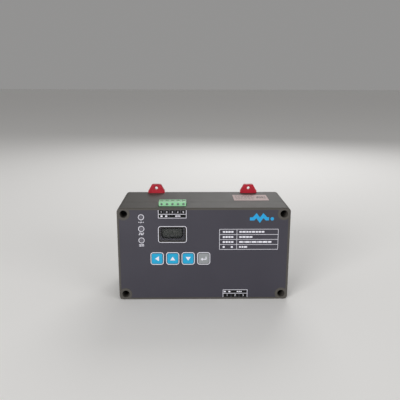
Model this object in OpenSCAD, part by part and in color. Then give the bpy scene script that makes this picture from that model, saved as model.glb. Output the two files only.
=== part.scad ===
// Panel meter for a distribution cabinet: a two-part moulded housing with a printed front,
// four keys, a small display, a plug-in supply terminal on top, a measuring socket below
// and two sprung latches for a 35 mm mounting rail.
// X runs across the front, Y from front to back, Z up. The origin is the centre of the rail seat.

/* [Housing] */
// Width of the housing
body_w = 160; // [132:1:200]
// Height of the housing
body_h = 90; // [75:1:112]
// Depth from the front face to the rear face
body_d = 70; // [58:1:90]
// Depth of the front cover, from its face to the split line
cover_d = 24; // [23:1:29]
// Thickness of the side walls
wall = 2.5; // [2:0.1:3]
// Thickness of the cover's front wall
front_wall = 3; // [2.6:0.1:3.6]
// Radius of the four long corners
corner_r = 4; // [2.5:0.5:5]
// Chamfer round the front and rear faces
edge_chamfer = 0.8; // [0.4:0.1:1.2]
// Length of the cover's tongue inside the rear casing
tongue_len = 2; // [1.5:0.1:3]

/* [Cover screws] */
// Distance of a screw from the side of the housing
screw_inset_x = 6.2; // [5.8:0.1:8]
// Distance of a screw from the top or bottom of the housing
screw_inset_z = 5.8; // [5.6:0.1:8]
// Radius of the well over a screw
well_r = 3.5; // [3.1:0.1:3.8]
// Material left under a screw head
well_floor = 4; // [3:0.5:6]
// Radius of the corner bosses and pillars
pillar_r = 5.4; // [5:0.1:6]
// Length of a cover screw's shank
cover_screw_len = 12; // [10:1:16]
// Length of a brass insert
insert_len = 8; // [6:0.5:9]

/* [Front panel] */
// Margin of the printed film inside the housing's outline
film_margin = 2; // [1.6:0.1:3]
// Radius of the film's cut-outs round the screw wells
film_notch_r = 5.9; // [5.8:0.1:6.6]
// Thickness of the printed film
film_t = 0.4; // [0.3:0.05:0.5]
// Depth of the recess that holds the film
film_recess = 0.6; // [0.5:0.05:0.8]
// Distance of the display's centre line from the left side
column_x = 50.9; // [48:0.1:54]
// Width of the display lens
lens_w = 25.4; // [22:0.1:27]
// Height of the display lens
lens_h = 14.8; // [12:0.1:17]
// Distance of the display's centre from the top
display_drop = 25.3; // [24:0.1:28]
// Distance of the indicators from the left side
indicator_x = 22.2; // [19:0.1:24]
// Distance of the first indicator from the top
indicator_drop = 8.8; // [8:0.1:10]
// Distance between indicators
indicator_pitch = 11.1; // [9:0.1:12]
// Radius of an indicator's lens
indicator_r = 2; // [1.8:0.1:2.2]
// Width and height of a key
key_w = 10; // [9:0.1:11]
// Distance between keys
key_pitch = 14.5; // [13.8:0.1:16]
// Distance of the keys' centres from the top
key_drop = 48.8; // [47:0.1:52]
// How far a key stands above the film
key_rise = 0.5; // [0.3:0.1:1]
// Travel of a key
key_travel = 0.3; // [0.2:0.05:0.5]

/* [Circuit boards] */
// Thickness of both boards
board_t = 1.6; // [1.2:0.1:2]
// Distance of the front board from the front face
front_board_y = 9; // [8.8:0.1:9.4]
// Distance of the main board from the front face
main_board_y = 19.6; // [19.2:0.1:20]
// Gap between the main board and the walls
board_gap = 2.2; // [1.8:0.1:3]

/* [Terminals] */
// Number of poles in the supply terminal
supply_poles = 5; // [3:1:6]
// Distance between its poles
supply_pitch = 5.08; // [5:0.01:5.2]
// Height of the supply plug above the housing
plug_rise = 3.8; // [3.6:0.1:6]
// Distance of the plug's screw side from the front face
plug_y = 7.6; // [7.4:0.1:8]
// Thickness of the plug from front to back
plug_t = 10.2; // [10:0.1:10.6]
// Travel of a clamp cage
cage_travel = 2.4; // [1.8:0.1:2.4]
// Number of poles in the measuring socket
measure_poles = 3; // [2:1:4]
// Distance between its poles
measure_pitch = 7.62; // [7.5:0.01:7.7]
// Distance of the measuring socket's centre from the right side
measure_x = 50; // [40:1:56]

/* [Rail mounting] */
// Width of the mounting rail
rail_w = 35; // [35:0.1:36]
// Thickness of the rail's flanges
rail_t = 1; // [0.8:0.1:1.5]
// Depth of the rail channel
rail_depth = 6; // [5.5:0.1:7]
// Distance between the two latches
latch_spacing = 95.6; // [86:0.1:104]
// Width of a latch
latch_w = 17; // [15:0.1:19]
// Width of a latch's raised core
latch_core_w = 11.8; // [10:0.1:12.4]
// Thickness of a latch
latch_t = 3.95; // [3.6:0.05:4.4]
// Height of a latch's eye end above the housing
latch_rise = 9.1; // [8:0.1:12]
// Width of the latch across its top
latch_top_w = 10.4; // [9:0.1:12]
// Radius of the eye in a latch
eye_r = 1.6; // [1.5:0.1:2.3]
// Height of the eye's centre above the housing
eye_rise = 5.2; // [4.6:0.1:6]
// Travel of a latch
latch_travel = 5; // [4:0.1:5]
// Length of a latch spring at rest
spring_len = 9; // [8:0.1:10]

/* [Hidden] */

round_fn = 48;
e = 0.01;                                  // overshoot of a cut past a face
fit = 0.15;                                // gap between fixed pieces
run = 0.3;                                 // gap round a moving piece
snug = 0.05;                               // gap round a piece pressed or glued into its hole

// Planes of the housing
front_y = rail_depth - body_d;
rear_y = rail_depth;
split_y = front_y + cover_d;
skin_y = front_y + front_wall;             // inside of the cover's front wall
top_z = body_h / 2;
left_x = -body_w / 2;
panel_x = left_x + column_x;               // centre line of display, plug and second key
shadow_gap = 0.4;                          // groove along the split line
lip_t = wall / 2 - 0.05;                   // wall left outside the tongue

// Cover screws
screw_x = body_w / 2 - screw_inset_x;
screw_z = body_h / 2 - screw_inset_z;
well_y = split_y - well_floor;
screw_r = 1.4;
screw_head_r = 2.75;
screw_head_t = 2.2;
insert_r = 2.3;
insert_bore_r = 1.5;

// Film and what sits in it
film_y = front_y + film_recess - film_t;   // front of the film
film_back_y = front_y + film_recess;
lens_t = 1.2;
lens_r = 1.9;
lens_ledge = 1;                            // width of the ledge under the lens
lens_y = film_y;
display_z = top_z - display_drop;
glass_w = 26.7;
glass_h = 19.3;
glass_t = 1.4;
glass_y = skin_y + fit;
display_board_w = 27.3;
display_board_h = 27;
display_board_t = 1.2;
display_board_y = glass_y + glass_t;
display_board_z = display_z - 0.6;
display_pin_z = display_board_z - display_board_h / 2 + 2;
led_x = left_x + indicator_x;
indicator_ledge = 0.5;
indicator_head_t = 1.2;
led_r = 1.5;
led_h = 2.4;

// Keys and their switches
key_r = 1.5;
key_gap = 0.2;                             // slit round a key
key_z = top_z - key_drop;
key_face_y = film_y - key_rise;
key_flange_t = 0.8;
key_flange = 1;                            // how far the flange passes the key's outline
key_flange_y = skin_y + fit;
switch_w = 6;
switch_h = 3.5;
plunger_r = 1.75;
front_board_front = front_y + front_board_y;
front_board_back = front_board_front + board_t;
switch_y = front_board_front - switch_h;
plunger_rise = 0.8;
plunger_y = switch_y - plunger_rise;

// Boards
main_front = front_y + main_board_y;
main_back = main_front + board_t;
main_w = body_w - 2 * (screw_inset_x + pillar_r + board_gap);
main_h = body_h - 2 * (wall + board_gap);
boss_r = 3;
boss_inset = boss_r + 0.4;                 // from the edge of a board
front_board_x0 = led_x - 7;
front_board_x1 = panel_x + 2 * key_pitch + key_w / 2 + key_flange + 2 * boss_r + 1.4;
front_board_z0 = key_z - key_w / 2 - key_flange - 4;
front_board_z1 = display_z + display_board_h / 2 - 4;
ear_x1 = led_x + 8;
ear_z1 = top_z - indicator_drop + 4;
pilot_r = 1.1;
board_screw_r = 1;
board_hole_r = 1.3;
board_screw_head_r = 2.2;
board_screw_head_t = 1.4;
front_bosses = [[front_board_x0 + boss_inset, front_board_z0 + boss_inset],
                [front_board_x1 - boss_inset, front_board_z0 + boss_inset],
                [front_board_x1 - boss_inset, front_board_z1 - boss_inset],
                [front_board_x0 + boss_inset, top_z - indicator_drop - 2 * indicator_pitch - 6.4]];
main_bosses = [[-main_w / 2 + 6, -main_h / 2 + 5], [main_w / 2 - 6, -main_h / 2 + 5],
               [main_w / 2 - 6, main_h / 2 - 5],
               [panel_x + supply_poles * supply_pitch / 2 + 10, main_h / 2 - 4]];

// Supply plug and header, from the outside in
plug_w = supply_poles * supply_pitch;
plug_top = top_z + plug_rise;
plug_front = front_y + plug_y;
plug_back = plug_front + plug_t;
plug_neck_z = top_z - wall - 1.6;          // underside of the plug's wide part
mate_len = 9.4;
mate_front = plug_front + 4.4;
mate_back = plug_back - 0.4;
header_wall = 1;
header_front = mate_front - fit - header_wall;
header_back = main_front;
header_top = plug_neck_z - fit;
header_floor = 3.2;
header_bottom = plug_neck_z - mate_len - fit - header_floor;
pin_w = 1;
pin_y = (mate_front + mate_back) / 2;
pin_top = plug_neck_z - 2.2;
cage_wall = 0.7;
cage_w = 3.8;
cage_h = 2.7;
pole_z = top_z + 1.7;                      // axis of a clamp screw
head_y = plug_front + 0.55;
clamp_head_r = 1.35;
clamp_head_t = 0.65;
clamp_r = 1.2;
cage_front = head_y + clamp_head_t + 0.1 + cage_travel;
bar_y = cage_front + cage_wall + 0.3;
bar_t = 0.7;
cage_back = plug_back - 0.6;

// Measuring socket
measure_cx = body_w / 2 - measure_x;
socket_w = measure_poles * measure_pitch;
socket_mouth = -top_z + 0.2;
socket_depth = 8.8;
socket_front = header_front;
socket_back = main_front;

// Rail channel and latches
rail_slot = rail_w + 0.5;
latch_y = 0.25;
latch_back = latch_y + latch_t;
flange_t = 1.8;
recess_w = latch_w + 2 * run;
guide_w = (latch_w - latch_core_w) / 2 - 0.2;
guide_y = latch_y + flange_t + run;
guide_t = 1.6;
hook_gap = rail_t + 0.3;
hook_grip = 1.9;
latch_z0 = rail_slot / 2 + run;
head_z = top_z - 3.7;
spring_z0 = latch_z0 + 3.4;
spring_r = 1.45;
wire_r = 0.25;
// Turns that leave two wires of room when the latch is fully lifted
spring_turns = floor((spring_len - latch_travel) / (2 * wire_r)) - 2;
spring_y = latch_y + latch_t / 2;
stop_w = 3.2;
stop_h = 1.8;
window_w = 4;
latch_xs = [-latch_spacing / 2, latch_spacing / 2];

// Points on an arc, and the outline of a rectangle with round corners
function arc(cx, cz, r, a0, a1, n) =
    [for (i = [0:n]) [cx + r * cos(a0 + (a1 - a0) * i / n), cz + r * sin(a0 + (a1 - a0) * i / n)]];
function round_rect(w, h, r, n = 8) = concat(
    arc(w / 2 - r, h / 2 - r, r, 0, 90, n), arc(-w / 2 + r, h / 2 - r, r, 90, 180, n),
    arc(-w / 2 + r, -h / 2 + r, r, 180, 270, n), arc(w / 2 - r, -h / 2 + r, r, 270, 360, n));

// A flat shape drawn in X and Z, carried from y0 to y1
module along_y(y0, y1) translate([0, y1, 0]) rotate([90, 0, 0]) linear_extrude(y1 - y0) children();
// A flat shape drawn in Y and Z, carried from x0 to x1
module along_x(x0, x1) translate([x0, 0, 0]) rotate([90, 0, 90]) linear_extrude(x1 - x0) children();
module plate(w, h, r) polygon(round_rect(w, h, r));
module at(x, z) translate([x, z]) children();
module rod_y(x, z, r, y0, y1)
    translate([x, y1, z]) rotate([90, 0, 0]) cylinder(r = r, h = y1 - y0, $fn = round_fn);
module box(x0, x1, y0, y1, z0, z1) translate([x0, y0, z0]) cube([x1 - x0, y1 - y0, z1 - z0]);
module at_corners() for (sx = [-1, 1], sz = [-1, 1]) translate([sx * screw_x, 0, sz * screw_z]) children();

// The housing's outer form between two planes, with a chamfer round either end
module housing_block(y0, y1, front_c, rear_c) {
    function chamfered(half) = [[-half + front_c, y0], [half - front_c, y0], [half, y0 + front_c],
        [half, y1 - rear_c], [half - rear_c, y1], [-half + rear_c, y1], [-half, y1 - rear_c],
        [-half, y0 + front_c]];
    intersection() {
        along_y(y0, y1) plate(body_w, body_h, corner_r);
        translate([0, 0, -body_h]) linear_extrude(2 * body_h) polygon(chamfered(body_w / 2));
        along_x(-body_w, body_w) polygon([for (p = chamfered(body_h / 2)) [p[1], p[0]]]);
    }
}

// A ring that follows the housing's outline, between two distances inside it
module outline_ring(y0, y1, outer, inner) difference() {
    along_y(y0, y1) plate(body_w - 2 * outer, body_h - 2 * outer, max(corner_r - outer, 0.6));
    along_y(y0 - 1, y1 + 1) plate(body_w - 2 * inner, body_h - 2 * inner, max(corner_r - inner, 0.5));
}

// --- Rear casing ---

module hollow_behind(x0, x1, z0, z1) if (x1 > x0) box(x0, x1, -wall - e, rear_y - wall, z0, z1);

module casing_hollows() {
    clear = recess_w / 2 + wall;
    side = body_w / 2 - wall;
    high = rail_slot / 2 + wall;
    for (s = [-1, 1]) {
        x0 = latch_spacing / 2 + clear;
        hollow_behind(s > 0 ? x0 : -side, s > 0 ? side : -x0, high, top_z - wall);
    }
    hollow_behind(-latch_spacing / 2 + clear, latch_spacing / 2 - clear, high, top_z - wall);
    hollow_behind(-side, side, -top_z + wall, -high);
}

module casing_guides(cx) {
    for (s = [-1, 1]) {
        outer = s * (recess_w / 2 + e);
        inner = s * (recess_w / 2 - guide_w);
        box(cx + min(outer, inner), cx + max(outer, inner), guide_y, guide_y + guide_t,
            latch_z0 + 2.2, head_z - run);
    }
    box(cx - stop_w / 2, cx + stop_w / 2, -e, latch_back - 0.4,
        spring_z0 + spring_len, spring_z0 + spring_len + stop_h);
}

module fixed_hook(cx) along_x(cx - latch_w / 2, cx + latch_w / 2) polygon([
    [hook_gap, -rail_slot / 2 - 0.5], [hook_gap, -rail_slot / 2 + 2.1], [hook_gap + 1, -rail_slot / 2 + 2.1],
    [hook_gap + 2.4, -rail_slot / 2 + 0.9], [hook_gap + 2.4, -rail_slot / 2 - 0.5]]);

module base_shell() color("#5d5e5d") difference() {
    union() {
        difference() {
            housing_block(split_y, rear_y, 0, edge_chamfer);
            along_y(split_y - 1, -wall)
                plate(body_w - 2 * wall, body_h - 2 * wall, max(corner_r - wall, 0.5));
            casing_hollows();
            box(-body_w, body_w, 0, rear_y + 1, -rail_slot / 2, rail_slot / 2);
            for (cx = latch_xs) box(cx - recess_w / 2, cx + recess_w / 2, 0, rear_y + 1, 0, top_z + 1);
        }
        intersection() {
            at_corners() rod_y(0, 0, pillar_r, split_y, rear_y - wall + 0.5);
            housing_block(split_y, rear_y, 0, edge_chamfer);
        }
        for (cx = latch_xs) {
            casing_guides(cx);
            fixed_hook(cx);
        }
    }
    outline_ring(split_y - 1, split_y + tongue_len + fit, lip_t, wall + fit);
    at_corners() rod_y(0, 0, insert_r + snug, split_y - 1, split_y + insert_len + 0.5);
    at_corners() rod_y(0, 0, screw_r + 0.2, split_y, split_y + max(insert_len, cover_screw_len) + 2);
}

// --- Front cover ---

module film_outline() difference() {
    plate(body_w - 2 * film_margin, body_h - 2 * film_margin, 2);
    for (sx = [-1, 1], sz = [-1, 1]) at(sx * screw_x, sz * screw_z) circle(r = film_notch_r, $fn = round_fn);
}

module key_places() for (i = [0:3]) at(panel_x + (i - 1) * key_pitch, key_z) children();
module indicator_places() for (i = [0:2]) at(led_x, top_z - indicator_drop - i * indicator_pitch) children();

module plug_slot(grow) box(panel_x - plug_w / 2 - grow, panel_x + plug_w / 2 + grow,
                           plug_front - grow, plug_back + grow, top_z - wall - 1, top_z + 1);

module socket_slot()
    box(measure_cx - socket_w / 2 - header_wall - fit, measure_cx + socket_w / 2 + header_wall + fit,
                         socket_front - fit, socket_back + fit, -top_z - 1, -top_z + wall + 1);

module cover_bosses() {
    for (p = front_bosses) rod_y(p[0], p[1], boss_r, skin_y - 0.5, front_board_front);
    for (p = main_bosses) rod_y(p[0], p[1], boss_r, skin_y - 0.5, main_front);
}

module front_cover() color("#5d5e5d") difference() {
    union() {
        difference() {
            housing_block(front_y, split_y, edge_chamfer, 0);
            along_y(skin_y, split_y + 1)
                plate(body_w - 2 * wall, body_h - 2 * wall, max(corner_r - wall, 0.5));
        }
        outline_ring(split_y - 1, split_y + tongue_len, lip_t + fit, wall);
        intersection() {
            at_corners() rod_y(0, 0, pillar_r, skin_y - 0.5, split_y);
            housing_block(front_y, split_y, edge_chamfer, 0);
        }
        cover_bosses();
    }
    along_y(front_y - 1, film_back_y) film_outline();
    at_corners() rod_y(0, 0, well_r, front_y - 1, well_y);
    at_corners() rod_y(0, 0, screw_r + 0.4, front_y, split_y + 1);
    difference() {
        outline_ring(split_y - shadow_gap, split_y + e, -1, 0.5);
        box(-body_w, body_w, split_y - 1, split_y + 1, -body_h, -top_z + 0.6);
    }
    along_y(front_y - 1, lens_y + lens_t) at(panel_x, display_z) plate(lens_w + fit, lens_h + fit, lens_r);
    along_y(front_y - 1, skin_y + 1)
        at(panel_x, display_z) plate(lens_w - 2 * lens_ledge, lens_h - 2 * lens_ledge, 1);
    along_y(front_y - 1, film_y + indicator_head_t + snug)
        indicator_places() circle(r = indicator_r + snug, $fn = round_fn);
    along_y(front_y - 1, skin_y + 1)
        indicator_places() circle(r = indicator_r - indicator_ledge + 2 * snug, $fn = round_fn);
    along_y(front_y - 1, skin_y + 1)
        key_places() plate(key_w + 2 * key_gap, key_w + 2 * key_gap, key_r + key_gap);
    plug_slot(fit + 0.25);
    socket_slot();
    for (p = front_bosses) rod_y(p[0], p[1], pilot_r, skin_y + 0.8, front_board_front + 1);
    for (p = main_bosses) rod_y(p[0], p[1], pilot_r, main_front - 8, main_front + 1);
}

module overlay_film() color("#4a4853") along_y(film_y, film_back_y) difference() {
    film_outline();
    at(panel_x, display_z) plate(lens_w + fit, lens_h + fit, lens_r);
    indicator_places() circle(r = indicator_r + snug, $fn = round_fn);
    key_places() plate(key_w + 2 * key_gap, key_w + 2 * key_gap, key_r + key_gap);
}

// --- Display and indicators ---

module display_lens() color("#3a3a3c")
    along_y(lens_y, lens_y + lens_t) at(panel_x, display_z) plate(lens_w, lens_h, lens_r - 0.05);

module display_glass() color("#17181a")
    along_y(glass_y, glass_y + glass_t) at(panel_x, display_z) plate(glass_w, glass_h, 0.3);

module display_board() color("#1f3f6e")
    along_y(display_board_y, display_board_y + display_board_t) at(panel_x, display_board_z) difference() {
        plate(display_board_w, display_board_h, 1);
        for (sx = [-1, 1], sz = [-1, 1])
            at(sx * (display_board_w / 2 - 2), sz * (display_board_h / 2 - 2))
                circle(r = 1.1, $fn = round_fn);
    }

module display_pins() color("#c9a227") for (i = [0:3])
    box(panel_x + (i - 1.5) * 2.54 - 0.3, panel_x + (i - 1.5) * 2.54 + 0.3,
        display_board_y + display_board_t, front_board_front, display_pin_z - 0.3, display_pin_z + 0.3);

// A clear rod that carries an LED's light to the panel
module indicator_lens(i) color("#c8ccd0")
    translate([led_x, 0, top_z - indicator_drop - i * indicator_pitch]) {
    rod_y(0, 0, indicator_r, film_y, film_y + indicator_head_t);
    rod_y(0, 0, indicator_r - indicator_ledge, film_y + indicator_head_t - e,
        front_board_front - led_h - run);
}

module indicator_leds() color("#e6e8e2") for (i = [0:2])
    translate([led_x, 0, top_z - indicator_drop - i * indicator_pitch])
        rod_y(0, 0, led_r, front_board_front - led_h, front_board_front);

// --- Keys ---

module key(i, tint = "#1ba6de") color(tint) {
    x = panel_x + (i - 1) * key_pitch;
    along_y(key_face_y, key_flange_y) at(x, key_z) plate(key_w, key_w, key_r);
    along_y(key_flange_y - e, key_flange_y + key_flange_t) at(x, key_z)
        plate(key_w + 2 * key_flange, key_w + 2 * key_flange, key_r);
    rod_y(x, key_z, plunger_r, key_flange_y + key_flange_t - e, plunger_y);
}

module switch_plunger(i) color("#222222")
    rod_y(panel_x + (i - 1) * key_pitch, key_z, plunger_r, plunger_y, switch_y + 1);

module key_switches() color("#3b3b3b") for (i = [0:3]) {
    x = panel_x + (i - 1) * key_pitch;
    difference() {
        along_y(switch_y, front_board_front) at(x, key_z) plate(switch_w, switch_w, 0.4);
        rod_y(x, key_z, plunger_r + 0.1, switch_y - 1, switch_y + 1 + key_travel + 0.2);
    }
}

// --- Circuit boards ---

module front_board() color("#1d6b3a") along_y(front_board_front, front_board_back) difference() {
    union() {
        at((front_board_x0 + front_board_x1) / 2, (front_board_z0 + front_board_z1) / 2)
            plate(front_board_x1 - front_board_x0, front_board_z1 - front_board_z0, 1);
        at((front_board_x0 + ear_x1) / 2, (front_board_z1 + ear_z1) / 2 - 2)
            plate(ear_x1 - front_board_x0, ear_z1 - front_board_z1 + 4, 1);
    }
    for (p = front_bosses) at(p[0], p[1]) circle(r = board_hole_r, $fn = round_fn);
}

module main_board() color("#1d6b3a") along_y(main_front, main_back) difference() {
    plate(main_w, main_h, 1.5);
    for (p = main_bosses) at(p[0], p[1]) circle(r = board_hole_r, $fn = round_fn);
}

// A pan-head screw whose head bears on the plane y and whose shank runs forwards
module board_screw(p, y, len) {
    difference() {
        rod_y(p[0], p[1], board_screw_head_r, y, y + board_screw_head_t);
        for (a = [0, 90]) translate([p[0], y + board_screw_head_t, p[1]]) rotate([0, a, 0])
            cube([2.6, 1.4, 0.6], center = true);
    }
    rod_y(p[0], p[1], board_screw_r, y - len, y + e);
}

module front_board_screws() color("#c8cacc")
    for (p = front_bosses) board_screw(p, front_board_back, board_t + 3.5);
module main_board_screws() color("#c8cacc") for (p = main_bosses) board_screw(p, main_back, board_t + 6);

link_x = front_board_x1 - 12;
link_z = display_z - 4;
module board_link() color("#1b1b1b") {
    along_y(front_board_back, main_front) at(link_x, link_z) plate(5, 20.4, 0.4);
}

module controller_chip() color("#202022") {
    along_y(main_front - 1.5, main_front - 0.1) at(main_w / 2 - 30, 4) plate(12, 12, 0.3);
    for (a = [0, 90, 180, 270], k = [-5:5])
        translate([main_w / 2 - 30, 0, 4]) rotate([0, a, 0])
            box(6 - e, 7.2, main_front - 0.5, main_front, k - 0.15, k + 0.15);
}

interface_places = [[main_w / 2 - 12, 18], [main_w / 2 - 12, 2], [main_w / 2 - 12, -14]];
module interface_chips() color("#202022") for (p = interface_places) {
    along_y(main_front - 1.8, main_front - 0.1) at(p[0], p[1]) plate(4, 10, 0.2);
    for (s = [-1, 1], k = [-3:3])
        box(p[0] + min(s * (2 - e), s * 3.2), p[0] + max(s * (2 - e), s * 3.2),
            main_front - 0.6, main_front, p[1] + k * 1.27 - 0.2, p[1] + k * 1.27 + 0.2);
}

// Transformer: a ferrite core through a wound bobbin, on the back of the main board
core_x = main_w / 2 - 26;
module transformer_core() color("#3a3d40") difference() {
    box(core_x - 11, core_x + 11, main_back + 2, main_back + 20, -14, -7);
    for (s = [-1, 1]) box(core_x + (s > 0 ? 3.1 : -8), core_x + (s > 0 ? 8 : -3.1),
                          main_back + 5, main_back + 17, -15, -6);
}
module transformer_winding() color("#c58f2e") difference() {
    union() {
        box(core_x - 7.7, core_x + 7.7, main_back + 5.3, main_back + 16.7, -17.5, -3.5);
        box(core_x - 9, core_x + 9, main_back, main_back + 1.8, -18.5, -2.5);
        for (z = [-17.9, -4.1])
            box(core_x - 6, core_x + 6, main_back + 1.8 - e, main_back + 5.3 + e, z, z + 1);
    }
    box(core_x - 3.3, core_x + 3.3, main_back + 5, main_back + 17, -14.2, -6.8);
    for (s = [-1, 1]) box(core_x + (s > 0 ? 7.8 : -12), core_x + (s > 0 ? 12 : -7.8),
                          main_back + 1.9, main_back + 21, -14.2, -6.8);
}

relay_x = -main_w / 2 + 24;
module relays() color("#1f5fa8") for (i = [0:2])
    box(relay_x - 7.5, relay_x + 7.5, main_back, main_back + 15.5, -24 + i * 13, -24 + i * 13 + 10.5);

module capacitors() color("#26282c") for (i = [0:2])
    rod_y(-8 + i * 11.5, -16, 4.5, main_back, main_back + 16);

module supply_module() color("#17181a") box(-14, 10, main_back, main_back + 10.5, 2, 16);

// --- Supply terminal ---

function pole_x(i) = panel_x + (i - (supply_poles - 1) / 2) * supply_pitch;

module header_pin(x, grow) {
    w = pin_w / 2 + grow;
    box(x - w, x + w, pin_y - w, pin_y + w, header_bottom + 1 - grow, pin_top + grow);
    box(x - w, x + w, pin_y - w, main_back + 1.2, header_bottom + 1 - grow, header_bottom + 2 + grow);
}

module supply_header() color("#8fcf9c") difference() {
    box(panel_x - plug_w / 2 - fit - header_wall, panel_x + plug_w / 2 + fit + header_wall,
        header_front, header_back, header_bottom, header_top);
    box(panel_x - plug_w / 2 - fit, panel_x + plug_w / 2 + fit,
        mate_front - fit, mate_back + fit, header_bottom + header_floor, header_top + 1);
    for (i = [0:supply_poles - 1]) header_pin(pole_x(i), snug);
}

module supply_header_pins() color("#d8d9d2") difference() {
    for (i = [0:supply_poles - 1]) header_pin(pole_x(i), 0);
    box(-body_w, body_w, main_front, main_back + 3, -body_h, body_h);
}

module supply_plug() color("#9fdcae") difference() {
    union() {
        box(panel_x - plug_w / 2, panel_x + plug_w / 2, plug_front, plug_back, plug_neck_z, plug_top);
        box(panel_x - plug_w / 2 + 0.2, panel_x + plug_w / 2 - 0.2,
            mate_front, mate_back, plug_neck_z - mate_len, plug_neck_z + e);
    }
    for (i = [0:supply_poles - 1]) {
        x = pole_x(i);
        // Cage chamber, wire entry from above, screw access from the front, pin entry from below
        box(x - cage_w / 2 - 0.15, x + cage_w / 2 + 0.15, head_y - snug, cage_back + snug,
            plug_neck_z + 1, pole_z + cage_h / 2 + 0.15);
        box(x - 1.5, x + 1.5, bar_y + bar_t, cage_back - cage_wall - 0.2, pole_z, plug_top + 1);
        rod_y(x, pole_z, clamp_head_r - 0.25, plug_front - 1, head_y);
        box(x - pin_w, x + pin_w, pin_y - pin_w, pin_y + pin_w,
            plug_neck_z - mate_len - 1, plug_neck_z + 1 + e);
    }
}

// Fixed contact bars in the plug, each with a tail that grips its pin
module plug_contacts() color("#d8d9d2") for (i = [0:supply_poles - 1]) {
    x = pole_x(i);
    box(x - 1, x + 1, bar_y, bar_y + bar_t, plug_neck_z + 1, pole_z + cage_h / 2);
    box(x - 0.8, x + 0.8, bar_y, pin_y - pin_w / 2 - snug, plug_neck_z + 1, plug_neck_z + 1.5);
}

module clamp_screw(i) color("#cfd1d3") {
    x = pole_x(i);
    difference() {
        rod_y(x, pole_z, clamp_head_r, head_y, head_y + clamp_head_t);
        box(x - 2, x + 2, head_y - 1, head_y + 0.35, pole_z - 0.25, pole_z + 0.25);
    }
    rod_y(x, pole_z, clamp_r, head_y + clamp_head_t - e, bar_y - 0.15);
}

module clamp_cage(i) color("#c9b46a") {
    x = pole_x(i);
    difference() {
        box(x - cage_w / 2, x + cage_w / 2, cage_front, cage_back, pole_z - cage_h / 2, pole_z + cage_h / 2);
        box(x - cage_w / 2 + 0.55, x + cage_w / 2 - 0.55, cage_front + cage_wall, cage_back - cage_wall,
            pole_z - cage_h, pole_z + cage_h);
        rod_y(x, pole_z, clamp_r + snug, cage_front - 1, cage_front + cage_wall + 1);
    }
}

// --- Measuring socket ---

module measure_pin(i, grow) {
    x = measure_cx + (i - (measure_poles - 1) / 2) * measure_pitch;
    w = pin_w / 2 + grow;
    floor_z = socket_mouth + socket_depth;
    box(x - w, x + w, pin_y - w, pin_y + w, socket_mouth + 1.6, floor_z + 2.2 + grow);
    box(x - w, x + w, pin_y - w, main_back + 1.2, floor_z + 1.2 - grow, floor_z + 2.2 + grow);
}

module measure_header() color("#8fcf9c") difference() {
    box(measure_cx - socket_w / 2 - header_wall, measure_cx + socket_w / 2 + header_wall,
        socket_front, socket_back, socket_mouth, socket_mouth + socket_depth + header_floor);
    box(measure_cx - socket_w / 2, measure_cx + socket_w / 2,
        socket_front + header_wall, mate_back + fit, socket_mouth - 1, socket_mouth + socket_depth);
    for (i = [0:measure_poles - 1]) measure_pin(i, snug);
}

module measure_header_pins() color("#d8d9d2") difference() {
    for (i = [0:measure_poles - 1]) measure_pin(i, 0);
    box(-body_w, body_w, main_front, main_back + 3, -body_h, body_h);
}

// --- Cover screws and inserts ---

module cover_screws() color("#8d9094") at_corners() {
    difference() {
        rod_y(0, 0, screw_head_r, well_y - screw_head_t, well_y);
        for (a = [0, 90]) translate([0, well_y - screw_head_t, 0]) rotate([0, a, 0])
            cube([3.2, 2, 0.7], center = true);
    }
    rod_y(0, 0, screw_r, well_y - e, well_y + cover_screw_len);
}

module cover_inserts() color("#c9a24a") at_corners() difference() {
    union() {
        rod_y(0, 0, insert_r, split_y + 0.05, split_y + insert_len * 0.4);
        rod_y(0, 0, insert_r - 0.3, split_y + 0.05, split_y + insert_len);
        rod_y(0, 0, insert_r, split_y + insert_len * 0.6, split_y + insert_len);
    }
    rod_y(0, 0, insert_bore_r, split_y - 1, split_y + insert_len + 1);
}

// --- Rail latches ---

// The eye end seen from the front: straight sides up to the shoulders, then a taper to the top
module latch_head_outline() {
    half = latch_w / 2;
    top = latch_top_w / 2;
    z1 = top_z + latch_rise;
    shoulder_z = top_z + 0.38 * latch_rise;
    right = concat([[half, head_z]], arc(half - 1.5, shoulder_z - 1.5, 1.5, 0, 55, 5),
                   arc(top - 1.8, z1 - 2, 2, 25, 90, 6));
    polygon(concat(right, [for (i = [len(right) - 1:-1:0]) [-right[i][0], right[i][1]]]));
}

module latch(cx) color("#c81f35") difference() {
    union() {
        along_x(cx - latch_core_w / 2, cx + latch_core_w / 2) polygon([
            [latch_y, latch_z0], [hook_gap, latch_z0], [hook_gap, rail_w / 2 - hook_grip],
            [hook_gap + 1.1, rail_w / 2 - hook_grip], [latch_back, rail_w / 2],
            [latch_back, head_z + e], [latch_y, head_z + e]]);
        box(cx - latch_w / 2, cx + latch_w / 2, latch_y, latch_y + flange_t, latch_z0, head_z + e);
        translate([cx, 0, 0]) along_y(latch_y, latch_back) latch_head_outline();
        // Raised rim round the eye end
        translate([cx, 0, 0]) along_y(latch_y - 0.6, latch_y + e) difference() {
            intersection() {
                latch_head_outline();
                at(0, top_z + 0.6 + latch_rise / 2) square([latch_w, latch_rise], center = true);
            }
            at(0, top_z + eye_rise) circle(r = eye_r + 0.9, $fn = round_fn);
            at(0, top_z) square([latch_w - 5.4, 2 * (eye_rise - 0.6)], center = true);
        }
    }
    rod_y(cx, top_z + eye_rise, eye_r, latch_y - 2, latch_back + 1);
    box(cx - window_w / 2, cx + window_w / 2, latch_y - 1, latch_back + 1,
        spring_z0, spring_z0 + spring_len + stop_h + run);
}

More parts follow.
